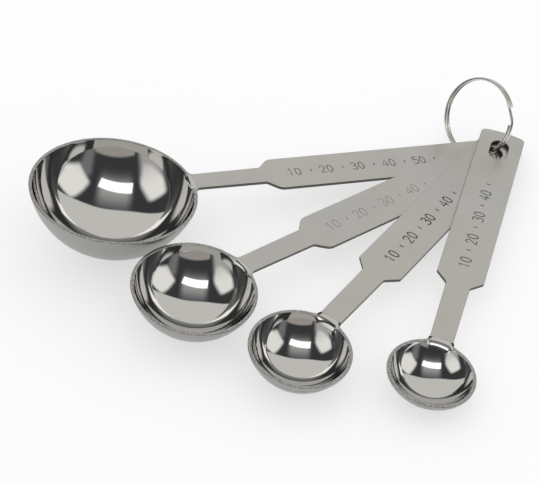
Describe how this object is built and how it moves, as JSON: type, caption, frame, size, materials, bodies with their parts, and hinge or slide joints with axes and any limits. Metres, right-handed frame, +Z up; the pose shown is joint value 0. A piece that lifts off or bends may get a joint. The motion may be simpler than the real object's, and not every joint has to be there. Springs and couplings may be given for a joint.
{
  "type": "measuring spoon set",
  "caption": "Nested measuring spoons of pressed steel with round bowls and slotted flat handles, fanned out and held together on a double-turn split ring.",
  "frame": {"origin": "centre of the plan bounding box, on the table that the set lies on", "axes": "+Z up from the table, +X from the largest bowl towards the ring, +Y from the smallest bowl towards the ring"},
  "size_m": [0.139, 0.123, 0.0222],
  "materials": {
    "spoon_steel": "satin",
    "ring_steel": "polished"
  },
  "bodies": {
    "table_spoon": {"table_spoon": "spoon_steel"},
    "tea_spoon": {"tea_spoon": "spoon_steel"},
    "half_tea_spoon": {"half_tea_spoon": "spoon_steel"},
    "quarter_tea_spoon": {"quarter_tea_spoon": "spoon_steel"},
    "split_ring": {"split_ring": "ring_steel"}
  },
  "joints": [
    {"name": "tea_swing", "type": "hinge", "parent": "table_spoon", "child": "tea_spoon", "pos_m": [0.05911, 0.04226, 0.00453], "axis": [0.1207, -0.0308, 0.9922], "range_deg": [0, 50]},
    {"name": "half_tea_swing", "type": "hinge", "parent": "tea_spoon", "child": "half_tea_spoon", "pos_m": [0.06019, 0.04207, 0.0057], "axis": [0.1039, -0.0179, 0.9944], "range_deg": [0, 50]},
    {"name": "quarter_tea_swing", "type": "hinge", "parent": "half_tea_spoon", "child": "quarter_tea_spoon", "pos_m": [0.06046, 0.04193, 0.00686], "axis": [0.1032, -0.0185, 0.9945], "range_deg": [0, 50]},
    {"name": "ring_turn", "type": "hinge", "parent": "table_spoon", "child": "split_ring", "pos_m": [0.05541, 0.05141, 0.01108], "axis": [-0.6759, -0.5959, 0.4337], "continuous": true}
  ]
}
